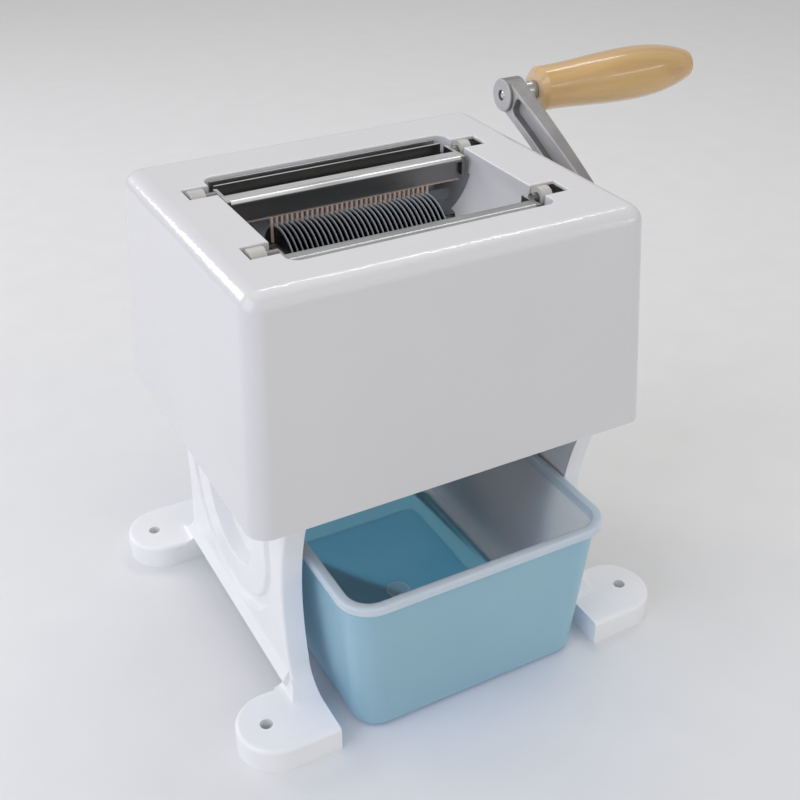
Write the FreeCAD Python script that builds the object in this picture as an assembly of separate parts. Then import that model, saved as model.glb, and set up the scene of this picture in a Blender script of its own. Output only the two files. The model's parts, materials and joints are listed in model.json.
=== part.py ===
import FreeCAD, Part
import math
import os

# Hand-cranked meat slicer.  Two rollers of interleaved round blades turn towards
# each other under a feed opening, a comb beside each roller keeps the slices from
# winding round it, and the slices fall into a tray between the two end frames.
# Millimetres.  +X is the crank side, -Y the front, +Z up.  The origin lies on the
# table, in the middle of the four foot holes.

V = FreeCAD.Vector

# ---------------------------------------------------------------- driving sizes
# feet and end frames
foot_pitch_x = 215.2      # between the foot holes, left to right
foot_pitch_y = 172.0      # between the foot holes, front to back
foot_hole_r = 3.25
foot_r = 20.4             # round outer end of a foot
foot_round_x = 102.3      # middle of that round end
foot_t = 14.0
foot_edge_r = 2.4
frame_inner_x = 76.5      # inner face of an end frame, also the foot's inner end
frame_t = 11.3
frame_cover = 20.0        # from the hood's top down to a frame's top
frame_top_half = 72.0
shoulder_z = 123.0        # where the leg leaves the shelter of the hood
shoulder_half = 78.0
waist_z = 70.0
waist_half = 66.0
ankle_r = 17.0            # sweep from the leg down to the foot
ankle_half = 69.5
frame_bottom_z = 11.0
bead_out = 3.7            # bottom bead, outwards from the frame's face
bead_crest_z = 19.5
bead_top_z = 31.0
foot_fillet = 7.0         # hollow fillet from the leg's face to the foot
leg_edge_r = 1.8          # rounded outer edges of the leg
rib_edge_r = 1.0          # rounded edges of rib, groove and pocket
bead_edge_r = 2.0
rib_r = 47.0              # raised U-shaped rib round the pocket
groove_w = 8.0            # groove round the rib
groove_depth = 3.0
groove_slope = 1.0
pocket_r = 30.0           # deep pocket inside it
pocket_floor = 2.6
pocket_draft = 2.0
pocket_low_z = 81.0
pocket_high_z = 120.0
boss_r = 14.0             # bearing boss
boss_h = 3.0

# hood
hood_w = 200.0
hood_d = 165.2
hood_top_z = 242.0
hood_bottom_z = 127.6
draft_x = 0.0614
draft_y = 0.0582
hood_wall = 1.8
hood_lip_r = 0.8          # rounded lips of the feed opening and its notches
hood_corner_r = 10.0
hood_top_r = 9.0
feed_x = -2.0             # middle of the feed opening and of the blade packs
feed_half_x = 67.5
feed_y = -4.2
feed_half_y = 53.5
feed_corner_r = 6.0
notch_half_x = 81.1       # reach of the notches that take the comb pins
notch_w = 13.2
notch_low_z = 233.0
seat_wall = 2.5           # pockets under the notches, where the comb's pins rest
mouth_collar_z = 233.0    # low edge of the collar round the feed opening
cheek_wall = 3.0          # side walls that hang from the feed opening
cheek_bend_z = 238.0      # where a cheek starts to turn in towards the blades
cheek_foot = 46.5         # from the packs' middle to a cheek's foot
cheek_front = 41.0        # reach of a cheek's foot, from the shafts' middle
cheek_back = 22.0
cheek_low_z = 208.0
cheek_open_z = 230.0      # below it the cheek's front and back are cut away
shaft_gap_r = 10.8        # free space round a shaft in a cheek
crank_hole_r = 9.0

# hood fixing
lug_x = 67.0
lug_y = 66.0
lug_z = 200.0
lug_t = 6.0
lug_r = 6.5
hood_boss_r = 4.5
screw_r = 2.0
screw_head_r = 3.8
screw_head_h = 3.2
screw_grip = 14.0
hole_play = 0.3

# rollers
axle_z = 202.4
axle_y = -4.1             # middle between the two shafts
axle_gap = 40.6
disc_r = 22.0
disc_t = 0.9
disc_pitch = 2.7
rear_discs = 32
disc_sides = 24           # each blade is drawn as a many-sided prism
hex_af = 18.0             # hexagon that drives the blades
hex_play = 0.02
collar_t = 2.4
hex_spare = 1.0
shoulder_r = 8.0
journal_r = 7.0
journal_play = 0.05
bush_wall = 3.0
bush_flange_r = 12.5
bush_flange_t = 1.4
end_play = 0.5

# gears
gear_teeth = 18
gear_w = 6.0
gear_backlash = 0.2
pressure_angle = 20.0
square_af = 9.0           # square seats of the gears and the crank
square_play = 0.02
thread_r = 4.0
nut_af = 13.0
nut_t = 3.2
crank_nut_t = 6.5
washer_t = 1.5
washer_r = 9.0

# crank
crank_reach_y = 94.9      # from the shaft to the handle, at rest
crank_rise_z = 46.9
arm_x = 121.3             # near face of the arm at the hub
arm_t = 5.5
arm_tip_x = 118.6         # and at the handle, where the arm is thicker
arm_tip_t = 9.8
arm_bulge = 2.2
arm_hub_drop = 3.0        # the arm's centre line passes below the shaft
arm_half_hub = 11.0
arm_half_mid = 9.6
arm_half_tip = 8.9
arm_rim = 2.6             # upper rim of the channel
arm_low_rim = 5.0         # lower rim
arm_edge_r = 0.9
arm_recess = 3.2          # depth of the channel at the hub
arm_tip_recess = 4.6      # and at the handle
hub_r = 14.0
hub_in = 13.3             # hub, inwards from the arm
hub_out = 0.6
tip_boss_r = 9.1
tip_boss_in = 2.0
stub_r = 6.5
socket_depth = 16.0
stub_square_af = 8.0

# handle
handle_gap = 9.5          # from the arm's boss to the wood
handle_len = 110.4
handle_end_r = 9.7        # end next to the crank
handle_bevel = 3.5
handle_base_r = 12.5
handle_belly_at = 58.5
handle_max_r = 15.2
handle_shoulder_at = 91.5
handle_shoulder_r = 13.3
handle_tip_r = 8.0
handle_tip_round = 2.2
spindle_r = 3.0
spindle_play = 0.08
spindle_head_r = 4.6
spindle_head_h = 3.0
spindle_head_from_tip = 9.0
head_play = 0.5
handle_washer_r = 7.5
handle_washer_t = 1.2
ferrule_r = 5.4

# combs
comb_x = -3.0
comb_half = 65.0
comb_t = 1.2
rear_comb_top_z = 240.0
front_comb_top_z = 238.5
comb_pin_off = 36.8       # pins, in front of and behind the shafts' middle
comb_end_t = 2.0
comb_end_low_z = 230.2
comb_end_step_z = 233.0
rear_flange_w = 9.6
front_flange_w = 8.0
bend_r = 2.0              # outer radius of the folded sheet's bends
rear_lip_h = 2.6
front_lip_h = 3.2
rear_plate_set = 2.5      # plate of the rear comb, behind its lip
finger_w = 1.1
finger_gap = 2.2          # from a finger to the blades' hexagon
finger_play = 0.4         # from a finger to a pack collar
rear_flange_off = 22.9    # front edge of the rear comb's flange
rear_plate_low_z = 227.0
rear_back_off = 45.2
rear_back_low_z = 224.0
front_flange_off = 45.4   # front face of the front comb's plate
front_plate_low_z = 205.0
comb_rod_r = 2.2
rod_below_pin = 5.6
pin_r = 5.0               # nylon sleeves on the combs' journals
pin_play = 0.3
pin_cap = 1.5             # closed outer end of a sleeve
left_pin_x = -82.0        # outer end of the left sleeves
left_pin_len = 7.4
right_pin_x = 71.6
right_pin_len = 6.2
comb_journal_r = 2.5

# tie rods
tie_y = 61.0
tie_low_z = 142.0
tie_high_z = 184.0
tie_r = 4.0
tie_thread_r = 3.0
tie_nut_af = 10.0
tie_nut_t = 4.0

# tray
tray_x = 1.5
tray_y = -20.0
tray_gap = 1.1            # from the rim to the right end frame
tray_d = 169.0
tray_h = 89.0
tray_draft = 0.066
tray_wall = 1.8
tray_corner_r = 14.0
tray_edge_r = 6.0
rim_w = 3.0
rim_h = 4.0
panel_inset = 20.0
panel_h = 0.9
gate_r = 6.8
gate_h = 0.7

# ---------------------------------------------------------------- derived places
frame_outer_x = frame_inner_x + frame_t
frame_top_z = hood_top_z - frame_cover
front_y = axle_y - axle_gap / 2
rear_y = axle_y + axle_gap / 2
front_discs = rear_discs - 1
pack_half = ((rear_discs - 1) * disc_pitch + disc_t) / 2
bush_r = journal_r + journal_play + bush_wall
bearing_face_x = frame_inner_x - boss_h - bush_flange_t
pin_z = notch_low_z + pin_play + pin_r
handle_y = front_y + crank_reach_y
handle_z = axle_z + crank_rise_z
tip_out_x = arm_tip_x + arm_tip_t + hub_out
handle_x = tip_out_x + handle_gap
hex_corner_r = hex_af / math.sqrt(3)
collar_r = hex_corner_r + finger_gap - finger_play
tray_w = 2 * (frame_inner_x - tray_gap - rim_w - tray_draft * tray_h - tray_x)


# ---------------------------------------------------------------- shape helpers
def block(x0, x1, y0, y1, z0, z1):
    return Part.makeBox(x1 - x0, y1 - y0, z1 - z0, V(x0, y0, z0))


def rod_x(x0, x1, y, z, r):
    return Part.makeCylinder(r, x1 - x0, V(x0, y, z), V(1, 0, 0))


def rod_z(x, y, z0, z1, r):
    return Part.makeCylinder(r, z1 - z0, V(x, y, z0), V(0, 0, 1))


def prism_x(x0, x1, y, z, sides, across_flats, turn=0.0):
    """Regular prism along X with a flat facing up when turn is 0."""
    r = across_flats / 2 / math.cos(math.pi / sides)
    step = 2 * math.pi / sides
    ring = []
    for i in range(sides):
        a = math.pi / 2 + step * (i + 0.5) + math.radians(turn)
        ring.append(V(x0, y + r * math.cos(a), z + r * math.sin(a)))
    return Part.Face(Part.makePolygon(ring + ring[:1])).extrude(V(x1 - x0, 0, 0))


def ring_x(x0, x1, y, z, outer, inner):
    return rod_x(x0, x1, y, z, outer).cut(rod_x(x0, x1, y, z, inner))


def face_of(edges):
    return Part.Face(Part.Wire(Part.__sortEdges__(edges)))


def line(a, b):
    return Part.LineSegment(a, b).toShape()


def arc(a, b, c):
    return Part.Arc(a, b, c).toShape()


def rounded_wire(w, d, r, z, cx=0.0, cy=0.0):
    """Rounded rectangle in a horizontal plane, w by d, corner radius r."""
    hx, hy, k = w / 2, d / 2, r * (1 - math.sqrt(0.5))

    def p(x, y):
        return V(cx + x, cy + y, z)

    edges = [
        line(p(-hx + r, -hy), p(hx - r, -hy)),
        arc(p(hx - r, -hy), p(hx - k, -hy + k), p(hx, -hy + r)),
        line(p(hx, -hy + r), p(hx, hy - r)),
        arc(p(hx, hy - r), p(hx - k, hy - k), p(hx - r, hy)),
        line(p(hx - r, hy), p(-hx + r, hy)),
        arc(p(-hx + r, hy), p(-hx + k, hy - k), p(-hx, hy - r)),
        line(p(-hx, hy - r), p(-hx, -hy + r)),
        arc(p(-hx, -hy + r), p(-hx + k, -hy + k), p(-hx + r, -hy)),
    ]
    return Part.Wire(edges)


def loft(wires):
    return Part.makeLoft(wires, True, True)


def slot_wire(x, z_low, z_high, r):
    """Upright slot outline in the plane X = x, centred on Y = 0."""
    return Part.Wire([
        arc(V(x, -r, z_low), V(x, 0, z_low - r), V(x, r, z_low)),
        line(V(x, r, z_low), V(x, r, z_high)),
        arc(V(x, r, z_high), V(x, 0, z_high + r), V(x, -r, z_high)),
        line(V(x, -r, z_high), V(x, -r, z_low)),
    ])


def edges_where(shape, test):
    return [e for e in shape.Edges if test(e.BoundBox)]


def mirror_x(shape):
    return shape.mirror(V(0, 0, 0), V(1, 0, 0))


def save(name, shapes):
    """Write one node; several solids become one group."""
    shapes = shapes if isinstance(shapes, list) else [shapes]
    solids = [s for shape in shapes for s in shape.Solids]
    result = solids[0] if len(solids) == 1 else Part.makeCompound(solids)
    for s in solids:
        if not s.isValid():
            raise ValueError(name + " holds a solid that is not valid")
    result.exportStep("parts/" + name + ".step")
    box = result.BoundBox
    print(f"{name:22s} {len(solids):3d} solids  {result.Volume / 1000:9.2f} cm3  "
          f"x {box.XMin:7.1f} {box.XMax:7.1f}  y {box.YMin:7.1f} {box.YMax:7.1f}  "
          f"z {box.ZMin:6.1f} {box.ZMax:6.1f}")


# ---------------------------------------------------------------- hood
def hood_shell(inset, corner, top_z, bottom_z, top_r):
    """Drafted block of the hood's form, its faces moved in by inset."""
    low = hood_top_z - bottom_z
    high = hood_top_z - top_z
    outline = [
        rounded_wire(hood_w + 2 * (draft_x * drop - inset),
                     hood_d + 2 * (draft_y * drop - inset), corner, hood_top_z - drop)
        for drop in (low, high)
    ]
    body = loft(outline)
    top_edges = edges_where(body, lambda b: b.ZMin > top_z - 0.01)
    return body.makeFillet(top_r, top_edges)


def cheek():
    """Side wall of the feed chute: upright at the opening, then curved in below it."""
    x = feed_x + feed_half_x
    foot_x = feed_x + cheek_foot
    t = cheek_wall
    z0, z1, z2 = cheek_low_z, cheek_bend_z, hood_top_z - hood_wall / 2
    width, drop = x - foot_x, z1 - z0
    r = (width ** 2 + drop ** 2) / (2 * width)

    def bow(radius, depth):
        return V(x - r + math.sqrt(radius ** 2 - depth ** 2), 0, z1 - depth)

    inner = [line(V(x, 0, z2), V(x, 0, z1)),
             arc(V(x, 0, z1), bow(r, drop / 2), bow(r, drop))]
    outer = [line(bow(r, drop), bow(r + t, drop)),
             arc(bow(r + t, drop), bow(r + t, drop / 2), V(x + t, 0, z1)),
             line(V(x + t, 0, z1), V(x + t, 0, z2)),
             line(V(x + t, 0, z2), V(x, 0, z2))]
    wall = face_of(inner + outer).extrude(V(0, 2 * feed_half_y, 0))
    wall.translate(V(0, feed_y - feed_half_y, 0))
    front, back = axle_y - cheek_front, axle_y + cheek_back
    for y0, y1 in ((front - 60, front), (back, back + 60)):
        wall = wall.cut(block(foot_x - 1, x + t + 1, y0, y1, z0 - 1, cheek_open_z))
    return wall


def hood():
    shell = hood_shell(0.0, hood_corner_r, hood_top_z, hood_bottom_z, hood_top_r)
    shell = shell.cut(hood_shell(hood_wall, hood_corner_r - hood_wall,
                                 hood_top_z - hood_wall, hood_bottom_z - 1.0,
                                 hood_top_r - hood_wall))
    mouth = Part.Face(rounded_wire(2 * feed_half_x, 2 * feed_half_y, feed_corner_r,
                                   hood_top_z - 2 * hood_wall, feed_x, feed_y))
    shell = shell.cut(mouth.extrude(V(0, 0, 3 * hood_wall)))
    collar_top = hood_top_z - hood_wall / 2 - mouth_collar_z
    outside, inside = [
        Part.Face(rounded_wire(2 * (feed_half_x + t), 2 * (feed_half_y + t), feed_corner_r + t,
                               mouth_collar_z, feed_x, feed_y)).extrude(V(0, 0, collar_top))
        for t in (cheek_wall, 0.0)
    ]
    right = cheek()
    left = mirror_x(right)
    left.translate(V(2 * feed_x, 0, 0))
    shell = shell.fuse([outside.cut(inside), right, left])
    for sx in (-1, 1):
        for sy in (-1, 1):
            boss = rod_z(sx * lug_x, sy * lug_y, lug_z + lug_t,
                         hood_top_z - hood_wall / 2, hood_boss_r)
            shell = shell.fuse(boss)
            pilot = rod_z(sx * lug_x, sy * lug_y, lug_z + lug_t - 1.0,
                          lug_z + lug_t + screw_grip + 2.0, screw_r + 0.05)
            shell = shell.cut(pilot)
    for side in (-1, 1):
        y = axle_y + side * comb_pin_off
        half = notch_w / 2
        for x0, x1 in ((feed_x - notch_half_x, left_pin_x + left_pin_len + 0.4),
                       (feed_x + feed_half_x + 0.2, right_pin_x + 0.8)):
            shell = shell.fuse(block(x0, x1, y - half - seat_wall, y + half + seat_wall,
                                     notch_low_z - seat_wall, hood_top_z - hood_wall / 2))
        shell = shell.cut(block(feed_x - notch_half_x, feed_x + notch_half_x,
                                y - half, y + half, notch_low_z, hood_top_z + 1.0))
    reach = feed_half_x + 2 * cheek_wall
    for y in (front_y, rear_y):
        shell = shell.cut(rod_x(feed_x - reach, feed_x + reach, y, axle_z, shaft_gap_r))
    wall_x = hood_w / 2 - 2 * hood_wall
    shell = shell.cut(rod_x(wall_x, wall_x + 30.0, front_y, axle_z, crank_hole_r))
    shell = shell.removeSplitter()
    lips = edges_where(shell, lambda b: b.ZMin > hood_top_z - 0.01
                       and max(abs(b.YMin), abs(b.YMax)) < feed_half_y - feed_y + 1
                       and max(abs(b.XMin - feed_x), abs(b.XMax - feed_x)) < notch_half_x + 1)
    return shell.makeFillet(hood_lip_r, lips)


def hood_screws():
    screws = []
    for sx in (-1, 1):
        for sy in (-1, 1):
            x, y = sx * lug_x, sy * lug_y
            head = rod_z(x, y, lug_z - screw_head_h, lug_z, screw_head_r)
            head = head.makeFillet(1.0, edges_where(head, lambda b: b.ZMax < lug_z - 1.0))
            shank = rod_z(x, y, lug_z, lug_z + lug_t + screw_grip, screw_r)
            slot = block(x - screw_head_r, x + screw_head_r, y - 0.5, y + 0.5,
                         lug_z - screw_head_h - 0.1, lug_z - screw_head_h + 1.2)
            screws.append(head.fuse(shank).cut(slot))
    return screws


# ---------------------------------------------------------------- end frames
def frame_outline():
    """Leg, waist and ankle of the end casting, as a closed face at the inner side."""
    x = frame_inner_x
    base = foot_t / 6
    mid = ankle_r * (1 - math.sqrt(0.5))
    foot_y = ankle_half + ankle_r

    def half(s):
        return [
            line(V(x, s * frame_top_half, frame_top_z), V(x, s * shoulder_half, shoulder_z)),
            arc(V(x, s * shoulder_half, shoulder_z), V(x, s * waist_half, waist_z),
                V(x, s * ankle_half, foot_t + ankle_r)),
            arc(V(x, s * ankle_half, foot_t + ankle_r),
                V(x, s * (ankle_half + mid), foot_t + mid), V(x, s * foot_y, foot_t)),
            line(V(x, s * foot_y, foot_t), V(x, s * foot_y, base)),
            line(V(x, s * foot_y, base), V(x, s * ankle_half, base)),
            line(V(x, s * ankle_half, base), V(x, s * ankle_half, frame_bottom_z)),
        ]

    top = line(V(x, -frame_top_half, frame_top_z), V(x, frame_top_half, frame_top_z))
    bottom = line(V(x, -ankle_half, frame_bottom_z), V(x, ankle_half, frame_bottom_z))
    return face_of(half(1) + half(-1) + [top, bottom])


def foot(side):
    """Flat foot with a half-round outer end, screwed down through one hole."""
    cx, cy = foot_pitch_x / 2, side * foot_pitch_y / 2
    pad = rod_z(foot_round_x, cy, 0, foot_t, foot_r)
    pad = pad.fuse(block(frame_inner_x, foot_round_x, cy - foot_r, cy + foot_r, 0, foot_t))
    pad = pad.removeSplitter()
    rim = edges_where(pad, lambda b: b.ZMin > foot_t - 0.01 and b.XMax > foot_round_x - 0.01)
    pad = pad.makeFillet(foot_edge_r, rim)
    return pad.cut(rod_z(cx, cy, -1, foot_t + 1, foot_hole_r))


def bead():
    """Sloping bead along the bottom of the outer face."""
    x = frame_outer_x
    root = groove_depth + 0.5
    ring = [
        V(x - root, 0, bead_top_z), V(x + bead_out, 0, bead_crest_z),
        V(x, 0, frame_bottom_z), V(x - root, 0, frame_bottom_z),
    ]
    length = 2 * ankle_half
    strip = Part.Face(Part.makePolygon(ring + ring[:1])).extrude(V(0, length, 0))
    strip.translate(V(0, -length / 2, 0))
    crest = edges_where(strip, lambda b: b.XMin > x + bead_out - 0.01 and b.YLength > length / 2)
    return strip.makeFillet(bead_edge_r, crest)


def leg_fillet(side):
    """Hollow fillet between the leg's outer face and the top of the foot."""
    x, z, r = frame_outer_x, foot_t, foot_fillet
    k = r * (1 - math.sqrt(0.5))
    section = face_of([
        line(V(x - 1, 0, z - 1), V(x - 1, 0, z + r)),
        line(V(x - 1, 0, z + r), V(x, 0, z + r)),
        arc(V(x, 0, z + r), V(x + k, 0, z + k), V(x + r, 0, z)),
        line(V(x + r, 0, z), V(x + r, 0, z - 1)),
        line(V(x + r, 0, z - 1), V(x - 1, 0, z - 1)),
    ])
    start = foot_pitch_y / 2 - foot_r
    length = ankle_half + ankle_r - start
    piece = section.extrude(V(0, length, 0))
    piece.translate(V(0, start if side > 0 else -start - length, 0))
    return piece.common(frame_outline().extrude(V(frame_t + r + 1, 0, 0)))


def frame_plate():
    """The casting's plate: rounded legs, grooved rib and deep pocket on its outer face."""
    x0, x1 = frame_inner_x, frame_outer_x
    plate = frame_outline().extrude(V(frame_t, 0, 0))
    low = x1 - groove_depth
    groove = loft([slot_wire(low, pocket_low_z, pocket_high_z,
                             rib_r + groove_w - groove_slope),
                   slot_wire(x1, pocket_low_z, pocket_high_z, rib_r + groove_w)])
    rib = loft([slot_wire(low, pocket_low_z, pocket_high_z, rib_r + groove_slope),
                slot_wire(x1, pocket_low_z, pocket_high_z, rib_r)])
    ring = groove.cut(rib)
    ring = ring.makeFillet(rib_edge_r, edges_where(ring, lambda b: b.XMax < low + 0.01))
    deep = x0 + pocket_floor
    pocket = loft([slot_wire(deep, pocket_low_z, pocket_high_z, pocket_r - pocket_draft),
                   slot_wire(x1, pocket_low_z, pocket_high_z, pocket_r)])
    pocket = pocket.makeFillet(2 * rib_edge_r,
                               edges_where(pocket, lambda b: b.XMax < deep + 0.01))
    plate = plate.cut([ring, pocket])
    for r in (pocket_r, rib_r, rib_r + groove_w):
        rim = edges_where(plate, lambda b: b.XMin > x1 - 0.01
                          and abs(max(abs(b.YMin), abs(b.YMax)) - r) < 0.01)
        plate = plate.makeFillet(rib_edge_r, rim)
    sides = edges_where(plate, lambda b: b.XMin > x1 - 0.01 and b.ZMax > foot_t + 0.5
                        and min(abs(b.YMin), abs(b.YMax)) > frame_top_half - 10)
    return plate.makeFillet(leg_edge_r, sides)


def right_end_frame():
    x0, x1 = frame_inner_x, frame_outer_x
    parts = [bead()]
    for side in (-1, 1):
        parts += [foot(side), leg_fillet(side)]
    for y in (front_y, rear_y):
        parts.append(rod_x(x0 - boss_h, x0 + 1, y, axle_z, boss_r))
    for side in (-1, 1):
        lug = rod_z(lug_x, side * lug_y, lug_z, lug_z + lug_t, lug_r)
        arm = block(lug_x, x0 + 1, side * lug_y - lug_r, side * lug_y + lug_r,
                    lug_z, lug_z + lug_t)
        parts += [lug, arm]
    body = frame_plate().fuse(parts)
    for y in (front_y, rear_y):
        body = body.cut(rod_x(x0 - boss_h - 1, x1 + 1, y, axle_z, bush_r))
    for side in (-1, 1):
        body = body.cut(rod_z(lug_x, side * lug_y, lug_z - 1, lug_z + lug_t + 1,
                              screw_r + hole_play))
        for z in (tie_low_z, tie_high_z):
            body = body.cut(rod_x(x0 - 1, x1 + 1, side * tie_y, z,
                                  tie_thread_r + hole_play))
    return body.removeSplitter()


def tie_rods():
    rods = []
    end = frame_outer_x + tie_nut_t + 1.0
    for side in (-1, 1):
        for z in (tie_low_z, tie_high_z):
            rod = rod_x(-frame_inner_x, frame_inner_x, side * tie_y, z, tie_r)
            rods.append(rod.fuse(rod_x(-end, end, side * tie_y, z, tie_thread_r)))
    return [r.removeSplitter() for r in rods]


def tie_rod_nuts():
    nuts = []
    for y in (-tie_y, tie_y):
        for z in (tie_low_z, tie_high_z):
            nut = prism_x(frame_outer_x, frame_outer_x + tie_nut_t, y, z, 6, tie_nut_af)
            nut = nut.cut(rod_x(frame_outer_x - 1, frame_outer_x + tie_nut_t + 1, y, z,
                                tie_thread_r + 0.02))
            nuts += [nut, mirror_x(nut)]
    return nuts


def bearing_bushes():
    bushes = []
    inner = journal_r + journal_play
    face = frame_inner_x - boss_h
    for y in (front_y, rear_y):
        sleeve = ring_x(face, frame_outer_x, y, axle_z, bush_r, inner)
        flange = ring_x(bearing_face_x, face, y, axle_z, bush_flange_r, inner)
        bush = sleeve.fuse(flange).removeSplitter()
        bushes += [bush, mirror_x(bush)]
    return bushes


# ---------------------------------------------------------------- rollers
gear_x0 = frame_outer_x + end_play
gear_x1 = gear_x0 + gear_w
thread_end_x = gear_x1 + nut_t + 0.6
hex_end = pack_half + collar_t + hex_spare
stub_in_x = frame_outer_x + end_play + gear_w - socket_depth


def arbor(y, with_socket):
    """Shaft with the blades' hexagon, two journals and the gear's square seat."""
    hexagon = prism_x(feed_x - hex_end, feed_x + hex_end, y, axle_z, 6, hex_af)
    neck_x = bearing_face_x - end_play
    shaft = hexagon.fuse(rod_x(-neck_x, neck_x, y, axle_z, shoulder_r))
    shaft = shaft.fuse(rod_x(-gear_x0, gear_x0, y, axle_z, journal_r))
    shaft = shaft.fuse(prism_x(-gear_x1, -gear_x0 + 1, y, axle_z, 4, square_af))
    shaft = shaft.fuse(rod_x(-thread_end_x, -gear_x1 + 1, y, axle_z, thread_r))
    if with_socket:
        end = gear_x0 + gear_w
        shaft = shaft.fuse(rod_x(gear_x0 - 1, end, y, axle_z, journal_r))
        shaft = shaft.cut(prism_x(stub_in_x, end + 1, y, axle_z, 4,
                                  stub_square_af + square_play))
    else:
        shaft = shaft.fuse(rod_x(gear_x0 - 1, gear_x0 + nut_t + 1.2, y, axle_z, thread_r))
    return shaft.removeSplitter()


def blade_pack(y, count):
    """Thin round blades on the hexagon, one pitch apart."""
    blades = []
    first = feed_x - (count - 1) * disc_pitch / 2 - disc_t / 2
    for i in range(count):
        x = first + i * disc_pitch
        blade = prism_x(x, x + disc_t, y, axle_z, disc_sides,
                        2 * disc_r * math.cos(math.pi / disc_sides))
        hole = prism_x(x - 1, x + disc_t + 1, y, axle_z, 6, hex_af + 2 * hex_play)
        blades.append(blade.cut(hole))
    return blades


def pack_collars(y, count):
    """Collars that close each end of a blade pack."""
    half = ((count - 1) * disc_pitch + disc_t) / 2
    collars = []
    for side in (-1, 1):
        a = feed_x + side * (half + 0.05)
        b = feed_x + side * (half + 0.05 + collar_t)
        x0, x1 = min(a, b), max(a, b)
        ring = rod_x(x0, x1, y, axle_z, collar_r)
        collars.append(ring.cut(prism_x(x0 - 1, x1 + 1, y, axle_z, 6,
                                        hex_af + 2 * hex_play)))
    return collars


def gear(y, turn):
    """Spur gear with involute flanks; turn is in degrees."""
    n = gear_teeth
    pitch_r = axle_gap / 2
    module = axle_gap / n
    base_r = pitch_r * math.cos(math.radians(pressure_angle))
    tip_r = pitch_r + module
    root_r = pitch_r - 1.25 * module

    def involute(r):
        a = math.acos(min(1.0, base_r / r))
        return math.tan(a) - a

    half_tooth = (math.pi * module / 2 - gear_backlash) / (2 * pitch_r)

    def flank_angle(r):
        return half_tooth + involute(pitch_r) - involute(max(r, base_r))

    x = -gear_x1
    edges = []
    previous = None
    for i in range(n):
        mid = math.radians(turn) + 2 * math.pi * i / n

        def at(r, a):
            return V(x, y + r * math.cos(a), axle_z + r * math.sin(a))

        radii = [base_r, (base_r + tip_r) / 2, tip_r]
        rising = [at(r, mid - flank_angle(r)) for r in radii]
        falling = [at(r, mid + flank_angle(r)) for r in reversed(radii)]
        foot_in = at(root_r, mid - flank_angle(base_r))
        foot_out = at(root_r, mid + flank_angle(base_r))
        if previous is None:
            first = foot_in
        else:
            edges.append(line(previous, foot_in))
        edges += [
            line(foot_in, rising[0]), arc(*rising),
            line(rising[2], falling[0]), arc(*falling), line(falling[2], foot_out),
        ]
        previous = foot_out
    edges.append(line(previous, first))
    wheel = Part.Face(Part.Wire(edges)).extrude(V(gear_w, 0, 0))
    bore = prism_x(x - 1, x + gear_w + 1, y, axle_z, 4, square_af + 2 * square_play)
    return wheel.cut(bore)


def hex_nut(x0, thick, y, z, across, hole_r):
    nut = prism_x(x0, x0 + thick, y, z, 6, across)
    return nut.cut(rod_x(x0 - 1, x0 + thick + 1, y, z, hole_r))


# ---------------------------------------------------------------- crank
def arm_point(t, across):
    """Point beside the arm's centre line; t runs from hub 0 to handle 1."""
    length = math.hypot(crank_reach_y, crank_rise_z)
    uy, uz = crank_reach_y / length, crank_rise_z / length
    bow = arm_bulge * 4 * t * (1 - t) - arm_hub_drop * (1 - t)
    slope = math.atan2(arm_bulge * 4 * (1 - 2 * t) + arm_hub_drop, length)
    along = t * length
    cy = front_y + uy * along - uz * bow
    cz = axle_z + uz * along + uy * bow
    ny = -math.sin(slope) * uy - math.cos(slope) * uz
    nz = -math.sin(slope) * uz + math.cos(slope) * uy
    return cy + ny * across, cz + nz * across


def arm_face(x, top_inset, low_inset, t0, t1):
    """Curved arm outline between t0 and t1, its two long edges moved in by the insets."""
    def half(t):
        if t < 0.5:
            return arm_half_hub + (arm_half_mid - arm_half_hub) * t / 0.5
        return arm_half_mid + (arm_half_tip - arm_half_mid) * (t - 0.5) / 0.5

    tm = (t0 + t1) / 2
    upper = [V(x, *arm_point(t, half(t) - top_inset)) for t in (t0, tm, t1)]
    lower = [V(x, *arm_point(t, low_inset - half(t))) for t in (t1, tm, t0)]
    return Part.Face(Part.Wire([arc(*upper), line(upper[2], lower[0]), arc(*lower),
                                line(lower[2], upper[0])]))


def arm_slab(hub_faces, tip_faces):
    """Flat wedge between two faces, each given by its X at the hub and at the handle."""
    over = 0.3
    reach = V(0, crank_reach_y, crank_rise_z)
    hub = V(0, front_y, axle_z)
    side = V(0, -crank_rise_z, crank_reach_y)
    side.normalize()
    ring = []
    for t, first in ((-over, 0), (1 + over, 0), (1 + over, 1), (-over, 1)):
        x = hub_faces[first] + (tip_faces[first] - hub_faces[first]) * t
        ring.append(hub + reach * t + V(x, 0, 0) - side * 60)
    return Part.Face(Part.makePolygon(ring + ring[:1])).extrude(side * 120)


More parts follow.
